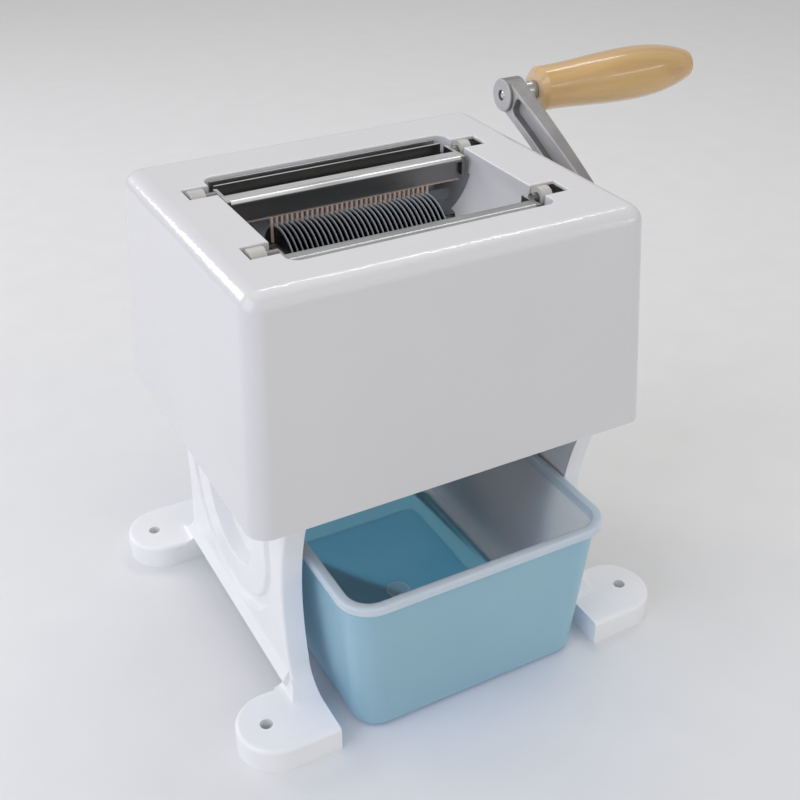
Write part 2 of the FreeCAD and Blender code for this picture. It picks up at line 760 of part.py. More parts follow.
def crank_arm():
    length = math.hypot(crank_reach_y, crank_rise_z)
    near = (arm_x, arm_tip_x)
    far = (arm_x + arm_t, arm_tip_x + arm_tip_t)
    arm = arm_face(arm_tip_x - 20, 0.0, 0.0, 0.0, 1.0).extrude(V(60, 0, 0))
    arm = arm.common(arm_slab((near[0], far[0]), (near[1], far[1])))
    t0 = (hub_r + arm_rim) / length
    t1 = 1 - (tip_boss_r + 1.0) / length
    recess = arm_face(arm_tip_x - 20, arm_rim, arm_low_rim, t0, t1).extrude(V(60, 0, 0))
    recess = recess.common(arm_slab((near[0] - 5, near[0] + arm_recess),
                                    (near[1] - 5, near[1] + arm_tip_recess)))
    corners = edges_where(recess, lambda b: b.XLength > 5 + 0.9 * arm_recess)
    recess = recess.makeFillet(3.0, corners)
    arm = arm.cut(recess)

    def on_face(edge, faces):
        for v in edge.Vertexes:
            t = ((v.Y - front_y) * crank_reach_y + (v.Z - axle_z) * crank_rise_z) / length ** 2
            if abs(v.X - faces[0] - (faces[1] - faces[0]) * t) > 0.02:
                return False
        return True

    ends = (arm_half_hub, arm_half_tip)
    rims = [e for e in arm.Edges if (on_face(e, near) or on_face(e, far))
            and not any(abs(e.Length - 2 * h) < 0.05 for h in ends)]
    arm = arm.makeFillet(arm_edge_r, rims)
    hub = rod_x(arm_x - hub_in, tip_out_x, front_y, axle_z, hub_r)
    hub = hub.makeFillet(1.2, edges_where(hub, lambda b: b.XLength < 0.01))
    tip = rod_x(arm_tip_x - tip_boss_in, tip_out_x, handle_y, handle_z, tip_boss_r)
    tip = tip.makeFillet(1.0, edges_where(tip, lambda b: b.XLength < 0.01))
    body = arm.fuse([hub, tip]).removeSplitter()
    body = body.cut(rod_x(arm_x - hub_in - 1, tip_out_x + 1, front_y, axle_z,
                          stub_r + 0.01))
    return body.cut(rod_x(arm_tip_x - tip_boss_in - 1, tip_out_x + 1, handle_y, handle_z,
                          spindle_r + 0.01))


def crank_stub():
    """Short shaft fixed in the crank's hub; its square end drives the front arbor."""
    shoulder = gear_x0 + gear_w + end_play
    square = prism_x(stub_in_x + 0.5, shoulder + 1, front_y, axle_z, 4, stub_square_af)
    body = rod_x(shoulder, tip_out_x, front_y, axle_z, stub_r)
    end = tip_out_x + washer_t + crank_nut_t - 1.0
    thread = rod_x(tip_out_x - 1, end, front_y, axle_z, thread_r)
    return body.fuse([square, thread]).removeSplitter()


def crank_washer():
    return ring_x(tip_out_x, tip_out_x + washer_t, front_y, axle_z, washer_r,
                  thread_r + 0.05)


def crank_nut():
    """Domed nut over the stub's thread."""
    x0 = tip_out_x + washer_t
    nut = prism_x(x0, x0 + crank_nut_t, front_y, axle_z, 6, nut_af)
    dome = Part.makeSphere(nut_af / 2 - 0.4, V(x0 + crank_nut_t - 2.0, front_y, axle_z))
    nut = nut.fuse(dome.cut(block(x0 - 20, x0 + crank_nut_t - 1.0, front_y - 20,
                                  front_y + 20, axle_z - 20, axle_z + 20)))
    return nut.cut(rod_x(x0 - 1, x0 + crank_nut_t - 0.5, front_y, axle_z,
                         thread_r + 0.02)).removeSplitter()


# ---------------------------------------------------------------- handle
head_x = handle_x + handle_len - spindle_head_from_tip


def wooden_handle():
    """Turned grip: a slim waist at the crank, the belly near the rounded tip."""
    def p(along, r):
        return V(handle_x + along, 0, r)

    curve = Part.BSplineCurve()
    curve.interpolate([p(handle_bevel, handle_base_r), p(handle_belly_at, handle_max_r),
                       p(handle_shoulder_at, handle_shoulder_r),
                       p(handle_len, handle_tip_r)])
    profile = [
        line(p(0, 0), p(0, handle_end_r)),
        line(p(0, handle_end_r), p(handle_bevel, handle_base_r)),
        curve.toShape(),
        line(p(handle_len, handle_tip_r), p(handle_len, 0)),
        line(p(handle_len, 0), p(0, 0)),
    ]
    wood = face_of(profile).revolve(V(0, 0, 0), V(1, 0, 0), 360)
    wood = Part.Solid(wood) if wood.ShapeType == "Shell" else wood
    wood = wood.makeFillet(handle_tip_round, edges_where(
        wood, lambda b: b.XMin > handle_x + handle_len - 0.01 and b.XLength < 0.01))
    wood.translate(V(0, handle_y, handle_z))
    wood = wood.cut(rod_x(handle_x - 1, head_x + 1, handle_y, handle_z,
                          spindle_r + spindle_play))
    well_r = spindle_head_r + head_play
    return wood.cut(rod_x(head_x, handle_x + handle_len + 1, handle_y, handle_z, well_r))


def handle_spindle():
    """Long screw that the handle turns on, riveted over in the arm's boss."""
    x0 = arm_tip_x - tip_boss_in + 1.0
    shank = rod_x(x0, head_x + 0.3, handle_y, handle_z, spindle_r)
    head = rod_x(head_x + 0.3, head_x + 0.3 + spindle_head_h, handle_y, handle_z,
                 spindle_head_r)
    slot = block(head_x + spindle_head_h - 0.9, head_x + spindle_head_h + 1.0,
                 handle_y - spindle_head_r, handle_y + spindle_head_r,
                 handle_z - 0.6, handle_z + 0.6)
    return shank.fuse(head).cut(slot).removeSplitter()


def handle_washer():
    return ring_x(tip_out_x, tip_out_x + handle_washer_t, handle_y, handle_z,
                  handle_washer_r, spindle_r + 0.05)


def handle_ferrule():
    """Spacer sleeve between the washer and the wood."""
    x0 = tip_out_x + handle_washer_t
    return ring_x(x0, handle_x - 0.3, handle_y, handle_z, ferrule_r, spindle_r + 0.05)


# ---------------------------------------------------------------- combs
comb_x0 = comb_x - comb_half + comb_end_t
comb_x1 = comb_x + comb_half - comb_end_t
finger_reach = hex_corner_r + finger_gap


def finger_places(count):
    """Middles of the gaps beside and between that many blades."""
    first = feed_x - count * disc_pitch / 2
    return [first + i * disc_pitch for i in range(count + 1)]


def rear_comb_sheet():
    """Folded sheet: lip, top flange, plate, and fingers down between the blades."""
    y0 = axle_y + rear_flange_off
    yp = y0 + rear_plate_set
    top = rear_comb_top_z
    sheet = block(comb_x0, comb_x1, y0, y0 + rear_flange_w, top - comb_t, top)
    sheet = sheet.fuse([
        block(comb_x0, comb_x1, y0, y0 + comb_t, top - rear_lip_h, top),
        block(comb_x0, comb_x1, yp, yp + comb_t, rear_plate_low_z, top - comb_t / 2),
    ])
    near = yp - rear_y
    low = axle_z + math.sqrt(finger_reach ** 2 - near ** 2)
    teeth = [block(x - finger_w / 2, x + finger_w / 2, yp, yp + comb_t,
                   low, rear_plate_low_z) for x in finger_places(rear_discs)]
    sheet = sheet.fuse(teeth).removeSplitter()
    return bent(sheet, top, y0, y0 + rear_flange_w)


def bent(sheet, top, bend_y, edge_y):
    """Round the fold at bend_y and the free edge at edge_y of a sheet's flange."""
    for y, r in ((bend_y, bend_r), (edge_y, comb_t * 0.8)):
        crest = edges_where(sheet, lambda b: b.ZMin > top - 0.01 and b.XLength > 50
                            and abs(b.YMin - y) < 0.01)
        sheet = sheet.makeFillet(r, crest)
    return sheet


def front_comb_sheet():
    """Folded sheet in front of the front roller, its fingers turned in at the foot."""
    y0 = axle_y - front_flange_off
    y1 = y0 + front_flange_w
    top = front_comb_top_z
    low = front_plate_low_z
    heel = front_y - disc_r - 0.6
    tip = front_y - math.sqrt(finger_reach ** 2 - (low + comb_t - axle_z) ** 2)
    sheet = block(comb_x0, comb_x1, y0, y1, top - comb_t, top)
    sheet = sheet.fuse([
        block(comb_x0, comb_x1, y1 - comb_t, y1, top - front_lip_h, top),
        block(comb_x0, comb_x1, y0, y0 + comb_t, low, top),
        block(comb_x0, comb_x1, y0, heel, low, low + comb_t),
    ])
    teeth = [block(x - finger_w / 2, x + finger_w / 2, heel, tip, low, low + comb_t)
             for x in finger_places(front_discs)]
    sheet = sheet.fuse(teeth).removeSplitter()
    folds = edges_where(sheet, lambda b: b.ZMin > top - 0.01 and b.XLength > 50)
    return sheet.makeFillet(bend_r, folds)


def rear_comb_back():
    y = axle_y + rear_back_off
    return block(comb_x0, comb_x1, y, y + comb_t, rear_back_low_z, rear_comb_top_z)


def comb_ends(y0, y1, top):
    """End plates; behind the pins they step down, out of the opening's sight."""
    step_y = axle_y + comb_pin_off + pin_r
    ends = []
    for side in (-1, 1):
        a = comb_x + side * (comb_half - comb_end_t)
        b = comb_x + side * comb_half
        x0, x1 = min(a, b), max(a, b)
        plate = block(x0, x1, y0, min(y1, step_y), comb_end_low_z, top)
        if y1 > step_y:
            plate = plate.fuse(block(x0, x1, step_y, y1, comb_end_low_z, comb_end_step_z))
        ends.append(plate.removeSplitter())
    return ends


def comb_pins(side):
    """Nylon sleeves on the comb's journals; they lie in the hood's notches."""
    y = axle_y + side * comb_pin_off
    pins = []
    for x0, x1, outer in ((left_pin_x, left_pin_x + left_pin_len, left_pin_x),
                          (right_pin_x - right_pin_len, right_pin_x, right_pin_x)):
        pin = rod_x(x0, x1, y, pin_z, pin_r)
        rims = edges_where(pin, lambda e: abs(e.XMin - outer) < 0.01 and e.XLength < 0.01)
        pin = pin.makeFillet(0.8, rims)
        inner = x0 + x1 - outer
        cap = outer + math.copysign(pin_cap, inner - outer)
        bore = rod_x(min(cap, inner), max(cap, inner), y, pin_z, comb_journal_r + 0.01)
        pins.append(pin.cut(bore))
    return pins


def comb_rod(side):
    """Rod between the end plates, and a journal outside each plate."""
    y = axle_y + side * comb_pin_off
    low = comb_x - comb_half
    high = comb_x + comb_half
    return [
        rod_x(comb_x0, comb_x1, y, pin_z - rod_below_pin, comb_rod_r),
        rod_x(left_pin_x + pin_cap, low, y, pin_z, comb_journal_r),
        rod_x(high, right_pin_x - pin_cap, y, pin_z, comb_journal_r),
    ]


# ---------------------------------------------------------------- tray
def tray_block(inset, z0, z1, edge_r):
    """Tapered block of the tray's form, its faces moved in by inset."""
    outline = [
        rounded_wire(tray_w + 2 * (tray_draft * z - inset),
                     tray_d + 2 * (tray_draft * z - inset),
                     tray_corner_r - inset, z, tray_x, tray_y)
        for z in (z0, z1)
    ]
    body = loft(outline)
    low_edges = edges_where(body, lambda b: b.ZMax < z0 + 0.01)
    return body.makeFillet(edge_r, low_edges)


def catch_tray():
    body = tray_block(0.0, 0.0, tray_h, tray_edge_r)
    z_rim = tray_h - rim_h
    grow = 2 * (tray_draft * tray_h + rim_w)
    rim = Part.Face(rounded_wire(tray_w + grow, tray_d + grow, tray_corner_r + rim_w,
                                 z_rim, tray_x, tray_y)).extrude(V(0, 0, rim_h))
    rim = rim.makeFillet(1.4, edges_where(rim, lambda b: b.ZMin > tray_h - 0.01))
    body = body.fuse(rim)
    body = body.cut(tray_block(tray_wall, tray_wall, tray_h + 1.0, tray_edge_r - tray_wall))
    panel = Part.Face(rounded_wire(tray_w - 2 * panel_inset, tray_d - 2 * panel_inset,
                                   tray_corner_r / 2, tray_wall - 0.3, tray_x, tray_y))
    body = body.fuse(panel.extrude(V(0, 0, panel_h + 0.3)))
    gate = rod_z(tray_x, tray_y, tray_wall, tray_wall + panel_h + gate_h, gate_r)
    return body.fuse(gate).removeSplitter()


# ---------------------------------------------------------------- build
def build():
    os.makedirs("parts", exist_ok=True)
    right = right_end_frame()
    save("hood", hood())
    save("hood_screws", hood_screws())
    save("right_end_frame", right)
    save("left_end_frame", mirror_x(right))
    save("tie_rods", tie_rods())
    save("tie_rod_nuts", tie_rod_nuts())
    save("bearing_bushes", bearing_bushes())

    save("front_arbor", arbor(front_y, True))
    save("front_blades", blade_pack(front_y, front_discs))
    save("front_pack_collars", pack_collars(front_y, front_discs))
    save("drive_gear", gear(front_y, 0.0))
    save("drive_gear_nut", hex_nut(-gear_x1 - nut_t, nut_t, front_y, axle_z, nut_af,
                                   thread_r + 0.02))

    save("rear_arbor", arbor(rear_y, False))
    save("rear_blades", blade_pack(rear_y, rear_discs))
    save("rear_pack_collars", pack_collars(rear_y, rear_discs))
    save("driven_gear", gear(rear_y, 180.0 + 180.0 / gear_teeth))
    save("rear_arbor_nuts", [
        hex_nut(-gear_x1 - nut_t, nut_t, rear_y, axle_z, nut_af, thread_r + 0.02),
        hex_nut(gear_x0, nut_t, rear_y, axle_z, nut_af, thread_r + 0.02),
    ])

    save("crank_arm", crank_arm())
    save("crank_stub", crank_stub())
    save("crank_washer", crank_washer())
    save("crank_nut", crank_nut())
    save("handle_spindle", handle_spindle())
    save("handle_washer", handle_washer())
    save("handle_ferrule", handle_ferrule())
    save("wooden_handle", wooden_handle())

    save("rear_comb_sheet", rear_comb_sheet())
    save("rear_comb_back", rear_comb_back())
    save("rear_comb_ends", comb_ends(axle_y + rear_flange_off,
                                     axle_y + rear_back_off + comb_t, rear_comb_top_z))
    save("rear_comb_pins", comb_pins(1))
    save("rear_comb_rod", comb_rod(1))
    save("front_comb_sheet", front_comb_sheet())
    save("front_comb_ends", comb_ends(axle_y - front_flange_off,
                                      axle_y - comb_pin_off + pin_r, front_comb_top_z))
    save("front_comb_pins", comb_pins(-1))
    save("front_comb_rod", comb_rod(-1))

    save("catch_tray", catch_tray())


build()
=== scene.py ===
import json
import math

import bmesh
import bpy
from bpy.props import FloatProperty, FloatVectorProperty, IntProperty, PointerProperty
from bpy.types import Operator, Panel, PropertyGroup
from mathutils import Matrix, Vector


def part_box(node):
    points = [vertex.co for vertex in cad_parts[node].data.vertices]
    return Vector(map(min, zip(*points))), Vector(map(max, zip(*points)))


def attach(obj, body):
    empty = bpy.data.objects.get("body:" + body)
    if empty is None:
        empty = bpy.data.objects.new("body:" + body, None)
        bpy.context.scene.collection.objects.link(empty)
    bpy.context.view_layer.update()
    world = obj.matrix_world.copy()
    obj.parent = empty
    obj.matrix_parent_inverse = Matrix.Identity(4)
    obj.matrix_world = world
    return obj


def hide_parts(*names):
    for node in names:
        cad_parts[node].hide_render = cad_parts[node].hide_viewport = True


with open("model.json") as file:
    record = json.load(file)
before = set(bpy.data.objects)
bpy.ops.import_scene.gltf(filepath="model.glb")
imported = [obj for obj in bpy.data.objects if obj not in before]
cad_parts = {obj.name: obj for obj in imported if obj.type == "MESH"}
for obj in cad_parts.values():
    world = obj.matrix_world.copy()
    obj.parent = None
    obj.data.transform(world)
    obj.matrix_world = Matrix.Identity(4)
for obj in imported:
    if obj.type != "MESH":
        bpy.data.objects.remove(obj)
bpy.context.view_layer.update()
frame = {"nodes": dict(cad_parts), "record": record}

bl_info = {
    "name": "Hand-cranked meat slicer",
    "version": (1, 0, 0),
    "blender": (4, 5, 0),
    "location": "3D View > Sidebar > Slicer",
    "description": "Dresses the slicer's solids with their finishes and sets up a small studio",
    "category": "Object",
}

MM = 0.001
CREASE = math.radians(32.0)  # an edge that turns more than this stays sharp
FLAT = math.radians(0.3)  # faces that turn less than this are joined
MERGE = 0.001 * MM  # corners nearer than this become one
SOLID_BLADE_SIDES = 24  # facets round a blade in the solids
HEXAGON_SIDES = 6
FACE_ALONG_X = Matrix.Rotation(math.pi / 2, 4, "Y")  # turns a flat circle to face along X

# Rivet's outline: mm along X from the spindle's end, and share of the rivet's radius.
RIVET_OUTLINE = ((0.2, 1.0), (-0.25, 1.0), (-0.62, 0.72), (-0.8, 0.36), (-0.86, 0.0))
RIVET_STEPS = 32

# Stage, in metres, but for the camera's sensor, which is in millimetres.
FLOOR_HALF = 6.0
SENSOR_WIDTH = 36.0
NEAREST_SEEN = 0.01
SLICER_MIDDLE = (0.0, 0.0, 0.13)
GRIP_MIDDLE = (0.23, 0.07, 0.25)
# Each lamp: its place, the point that it faces, its width and height, and its tint.
LAMPS = {
    "left_lamp": ((-1.25, -0.2, 0.92), SLICER_MIDDLE, (1.3, 1.3), (0.80, 0.84, 1.0)),
    "top_lamp": ((0.1, 0.1, 1.5), SLICER_MIDDLE, (1.2, 1.2), (1.0, 0.99, 0.97)),
    "front_lamp": ((0.5, -1.4, 0.9), SLICER_MIDDLE, (1.2, 1.2), (1.0, 0.99, 0.98)),
    "edge_lamp": ((0.6, 0.62, 1.35), SLICER_MIDDLE, (0.9, 0.16), (1.0, 1.0, 1.0)),
    "rim_lamp": ((-0.78, 1.08, 0.72), SLICER_MIDDLE, (0.5, 0.5), (1.0, 0.96, 0.98)),
    "tip_lamp": ((0.95, -0.75, 0.62), GRIP_MIDDLE, (0.5, 0.12), (1.0, 0.98, 0.95)),
}


# ------------------------------------------------------------------ settings
def colour(name, description, value):
    return FloatVectorProperty(name=name, description=description, default=value,
                               subtype="COLOR", size=3, min=0.0, max=1.0)


def length(name, description, value):
    return FloatProperty(name=name, description=description, default=value,
                         subtype="DISTANCE", unit="LENGTH", min=0.0, precision=5)


def lamp_power(name, value):
    return FloatProperty(name=name, description="Power", default=value, subtype="POWER")


class SlicerFinishes(PropertyGroup):
    """Colours of the slicer's finishes, as linear values."""

    hood: colour("Hood", "Glossy white of the hood", (0.72, 0.715, 0.72))
    casting: colour("End frames", "White paint on the end frames", (0.93, 0.93, 0.935))
    steel: colour("Steel", "Turned and bent steel parts", (0.52, 0.52, 0.53))
    bar: colour("Comb bars", "Bright folded sheet of the combs", (0.74, 0.74, 0.745))
    # Painted shade: this darker colour stands in for the shade on the combs' upright faces, and
    # also paints the dark streaks on their tops.
    bar_painted_shade: colour("Comb bars, dark", "Dull upright faces of the combs", (0.26, 0.255, 0.25))
    # Painted reflection: a warm tint on the steel fingers, standing in for a reflection.
    finger: colour("Comb fingers", "Warm tint of the comb's fingers", (0.78, 0.60, 0.50))
    # Painted shade: the blades' flat is near black, in place of the shade between the
    # close-packed discs.
    blade: colour("Blades", "Dark flat of a blade", (0.008, 0.0085, 0.0095))
    # Partly a real ground edge and partly a painted highlight of light caught on the rims.
    blade_edge_and_highlight: colour("Blade edges", "Ground edge of a blade", (0.74, 0.77, 0.79))
    bronze: colour("Bushes", "Bronze of the bearing bushes", (0.55, 0.35, 0.16))
    nylon: colour("Comb pins", "Cream nylon of the comb pins", (0.56, 0.545, 0.495))
    crank: colour("Crank", "Flat sides of the aluminium casting", (0.50, 0.495, 0.50))
    # Painted shade: a darker copy of the crank's colour for the faces round the casting's rim.
    crank_shaded_rim: colour("Crank rim", "Duller rim of the casting", (0.225, 0.22, 0.212))
    wood: colour("Wood", "Lacquered wood of the grip", (0.66, 0.415, 0.155))
    wood_grain: colour("Wood grain", "Darker grain lines", (0.46, 0.25, 0.095))
    # Lighter colour on the faces that look along X, at the grip's ends.
    wood_end: colour("End grain", "Pale end grain of the grip", (0.76, 0.55, 0.33))
    tray: colour("Tray walls", "Outer face of the tray's walls", (0.34, 0.63, 1.0))
    # Painted light: the inner faces of the walls are near white, in place of the light that
    # comes through them.
    tray_inside_lit: colour("Tray, inside", "Milky inner face of the tray's walls", (0.92, 0.96, 1.0))
    # Painted shade: a deeper blue for the floor, which lies in the shade under the machine.
    tray_floor_shaded: colour("Tray floor", "Deeper blue at the tray's floor", (0.22, 0.52, 0.80))
    tray_rim: colour("Tray rim", "Thick frosted plastic of the rim", (0.60, 0.69, 0.80))


class SlicerSizes(PropertyGroup):
    """Sizes of the details that are added to the solids."""

    blade_pitch: length("Blade pitch", "From one blade to the next", 2.7 * MM)
    blade_thick: length("Blade thickness", "Thickness at the hub", 0.9 * MM)
    blade_bevel: length("Ground edge", "Width of a blade's ground edge", 2.2 * MM)
    hexagon: length("Blade hexagon", "Across the flats of the blades' hole", 18.04 * MM)
    blade_sides: IntProperty(name="Blade sides", description="Facets round a blade",
                             default=48, min=24, max=96)
    finger_root: length("Rear finger tops", "Up from the back plate's low edge", 3.0 * MM)
    front_root: length("Front finger tops", "Up from the front sheet's low edge", 1.2 * MM)
    finger_fade: length("Finger fade", "Height over which the fingers' tint ends", 1.2 * MM)
    guard_off: length("Guard offset", "From the back plate to the guard's far face", 6.2 * MM)
    guard_high: length("Guard height", "Upright face of the guard sheet", 13.0 * MM)
    guard_thick: length("Guard thickness", "Sheet of the guard behind the rear comb", 0.8 * MM)
    rivet_r: length("Rivet", "Radius of the rivet in the crank's boss", 2.1 * MM)
    gate_r: length("Gate mark", "Radius of the disc on the tray's floor", 6.8 * MM)


class SlicerStage(PropertyGroup):
    """Camera, lamps and floor."""

    camera_at: FloatVectorProperty(name="Camera", description="Place of the camera",
                                   default=(-0.23697, -0.46097, 0.44703),
                                   subtype="TRANSLATION", unit="LENGTH")
    camera_down: FloatProperty(name="Tilt", description="Angle below the horizon",
                               default=0.561, subtype="ANGLE")
    camera_turn: FloatProperty(name="Turn", description="Angle to the right of straight ahead",
                               default=0.4979, subtype="ANGLE")
    lens: FloatProperty(name="Lens", description="Focal length on a 36 mm sensor",
                        default=51.65, subtype="DISTANCE_CAMERA")
    left_lamp: lamp_power("Left lamp", 8.9)
    top_lamp: lamp_power("Top lamp", 2.4)
    front_lamp: lamp_power("Front lamp", 2.4)
    edge_lamp: lamp_power("Edge lamp", 2.6)
    rim_lamp: lamp_power("Rim lamp", 3.0)
    tip_lamp: lamp_power("Tip lamp", 0.5)
    sky: FloatProperty(name="Surrounding light", description="Strength of the world",
                       default=0.52, min=0.0, max=1.0)
    floor: colour("Floor", "Pale floor", (0.80, 0.80, 0.80))


# ------------------------------------------------------------------ materials
# A roughness that crosses 0.27 on a broad face leaves faint lines in a denoised render, so
# the hood's, the combs' and the tray's roughness stays above it.
class Finish:
    """A node material with one Principled shader, on Object coordinates."""

    def __init__(self, name, **sockets):
        self.material = bpy.data.materials.new(name)
        self.material.use_nodes = True
        self.nodes = self.material.node_tree.nodes
        self.links = self.material.node_tree.links
        self.nodes.clear()
        output = self.nodes.new("ShaderNodeOutputMaterial")
        self.shader = self.nodes.new("ShaderNodeBsdfPrincipled")
        self.links.new(self.shader.outputs["BSDF"], output.inputs["Surface"])
        self.place = self.nodes.new("ShaderNodeTexCoord")
        for socket, value in sockets.items():
            self.set(socket.replace("_", " "), value)

    def set(self, socket, value):
        """Set a shader socket to a constant, or link it to another socket."""
        target = self.shader.inputs[socket]
        if isinstance(value, bpy.types.NodeSocket):
            self.links.new(value, target)
        else:
            target.default_value = value

    def node(self, kind, inputs, **settings):
        """A new node; each input is a constant or a socket to link from."""
        made = self.nodes.new(kind)
        for key, value in settings.items():
            setattr(made, key, value)
        for key, value in inputs.items():
            if isinstance(value, bpy.types.NodeSocket):
                self.links.new(value, made.inputs[key])
            else:
                made.inputs[key].default_value = value
        return made

    def mapped(self, scale=(1.0, 1.0, 1.0), shift=(0.0, 0.0, 0.0)):
        """Object coordinates, moved by shift and then stretched."""
        return self.node("ShaderNodeMapping", {
            "Vector": self.place.outputs["Object"],
            "Location": [a * b for a, b in zip(shift, scale)],
            "Scale": scale,
        }).outputs["Vector"]

    def noise(self, scale, detail=3.0, rough=0.5, stretch=(1.0, 1.0, 1.0)):
        """Noise on Object coordinates, from 0 to 1; stretch is its scale by axis."""
        return self.node("ShaderNodeTexNoise", {
            "Vector": self.mapped(stretch), "Scale": scale, "Detail": detail,
            "Roughness": rough,
        }).outputs["Fac"]

    def ramp(self, fac, *stops):
        """Colours, or greys, along fac; each stop is (position, value)."""
        made = self.node("ShaderNodeValToRGB", {"Fac": fac})
        keys = made.color_ramp.elements
        for i, (at, value) in enumerate(stops):
            key = keys[i] if i < 2 else keys.new(at)
            key.position = at
            key.color = (*value, 1.0) if hasattr(value, "__len__") else (value,) * 3 + (1.0,)
        return made.outputs["Color"]

    def mix(self, fac, low, high):
        """Colour mix; low and high are colours or sockets."""
        made = self.node("ShaderNodeMix", {"Factor": fac}, data_type="RGBA")
        for slot, value in ((6, low), (7, high)):
            if isinstance(value, bpy.types.NodeSocket):
                self.links.new(value, made.inputs[slot])
            else:
                made.inputs[slot].default_value = (*value, 1.0)
        return made.outputs[2]

    def maths(self, operation, *values):
        """One Math node on constants and sockets."""
        made = self.nodes.new("ShaderNodeMath")
        made.operation = operation
        for slot, value in zip(made.inputs, values):
            if isinstance(value, bpy.types.NodeSocket):
                self.links.new(value, slot)
            else:
                slot.default_value = value
        return made.outputs["Value"]

    def axes(self, vector=None):
        """The X, Y and Z sockets of a vector, or of the Object coordinates."""
        made = self.node("ShaderNodeSeparateXYZ",
                         {"Vector": vector or self.place.outputs["Object"]})
        return made.outputs[0], made.outputs[1], made.outputs[2]

    def root_of_squares(self, a, b):
        """Root of the sum of two squares."""
        return self.maths("SQRT", self.maths("ADD", self.maths("MULTIPLY", a, a),
                                             self.maths("MULTIPLY", b, b)))

    def share(self, value, start, end):
        """0 where the value is at start, 1 where it is at end."""
        return self.maths("MULTIPLY_ADD", value, 1.0 / (end - start), -start / (end - start))

    def facing(self):
        """The X, Y and Z sockets of the surface's normal, in Object coordinates."""
        return self.axes(self.place.outputs["Normal"])

    def bump(self, height, strength, distance):
        made = self.node("ShaderNodeBump", {
            "Height": height, "Strength": strength, "Distance": distance,
        })
        self.set("Normal", made.outputs["Normal"])


def tinted(value, factor):
    """The colour made lighter or darker, and never over 1."""
    return tuple(min(1.0, part * factor) for part in value)


def gloss_white(name, value):
    """Glossy white plastic with a faint swell and soft cloudiness."""
    finish = Finish(name, Coat_Weight=0.8, Coat_Roughness=0.05)
    cloud = finish.noise(scale=9.0, detail=2.0)
    finish.set("Base Color", finish.ramp(cloud, (0.3, tinted(value, 0.98)),
                                         (0.7, tinted(value, 1.02))))
    smear = finish.noise(scale=38.0, stretch=(1.0, 1.0, 2.5))
    finish.set("Roughness", finish.ramp(smear, (0.3, 0.29), (0.75, 0.39)))
    finish.bump(finish.noise(scale=60.0, detail=0.0), strength=0.05, distance=0.2 * MM)
    return finish.material


def cast_paint(name, value):
    """White paint that follows the slightly uneven skin of a casting."""
    finish = Finish(name, Coat_Weight=0.3, Coat_Roughness=0.16)
    cloud = finish.noise(scale=14.0, detail=4.0, rough=0.6)
    finish.set("Base Color", finish.ramp(cloud, (0.3, tinted(value, 0.955)),
                                         (0.7, tinted(value, 1.02))))
    finish.set("Roughness", finish.ramp(cloud, (0.35, 0.3), (0.7, 0.44)))
    skin = finish.noise(scale=170.0, rough=0.55)
    swell = finish.noise(scale=32.0, detail=2.0)
    both = finish.maths("MULTIPLY_ADD", swell, 2.2, skin)
    finish.bump(both, strength=0.22, distance=0.35 * MM)
    return finish.material


def turned_steel(name, value, rough=0.3):
    """Steel with fine marks round the X axis."""
    finish = Finish(name, Metallic=1.0)
    lines = finish.noise(scale=1800.0, detail=2.0, stretch=(1.0, 0.08, 0.08))
    cloud = finish.noise(scale=60.0)
    finish.set("Base Color", finish.ramp(cloud, (0.3, tinted(value, 0.8)),
                                         (0.75, tinted(value, 1.12))))
    finish.set("Roughness", finish.ramp(lines, (0.3, rough - 0.08), (0.7, rough + 0.12)))
    finish.bump(lines, strength=0.12, distance=0.05 * MM)
    return finish.material


def comb_steel(name, bright, painted_shade, finger, finger_top, fade):
    """Folded sheet, bright on top, with painted shade that darkens its upright faces, dark
    streaks on top that are partly drawn marks and partly painted reflection, and fingers with a
    warm painted reflection.

    The fingers' tint is full up to finger_top and fades out over the height fade above it.
    """
    finish = Finish(name, Metallic=1.0)
    drawn = finish.noise(scale=420.0, rough=0.6, stretch=(0.03, 1.0, 1.0))
    streak = finish.noise(scale=150.0, rough=0.6, stretch=(0.12, 1.0, 1.0))
    # Painted reflection: streaks of the shaded colour across the bright top, partly drawn
    # marks.
    top = finish.mix(finish.ramp(streak, (0.45, 0.0), (0.66, 0.55)), bright, painted_shade)
    # Painted shade: faces that look up get the bright top, upright faces the darker shaded
    # colour.
    up_facing = finish.facing()[2]
    sheet = finish.mix(finish.ramp(up_facing, (0.2, 0.0), (0.6, 1.0)), painted_shade, top)
    # Painted reflection: below finger_top the fingers take the warm tint and turn less
    # metallic.
    up = finish.share(finish.axes()[2], finger_top, finger_top + fade)
    finish.set("Base Color", finish.mix(finish.ramp(up, (0.0, 0.0), (1.0, 1.0)), finger, sheet))
    finish.set("Metallic", finish.ramp(up, (0.0, 0.15), (1.0, 1.0)))
    finish.set("Roughness", finish.ramp(drawn, (0.3, 0.285), (0.75, 0.38)))
    finish.bump(drawn, strength=0.18, distance=0.06 * MM)
    return finish.material


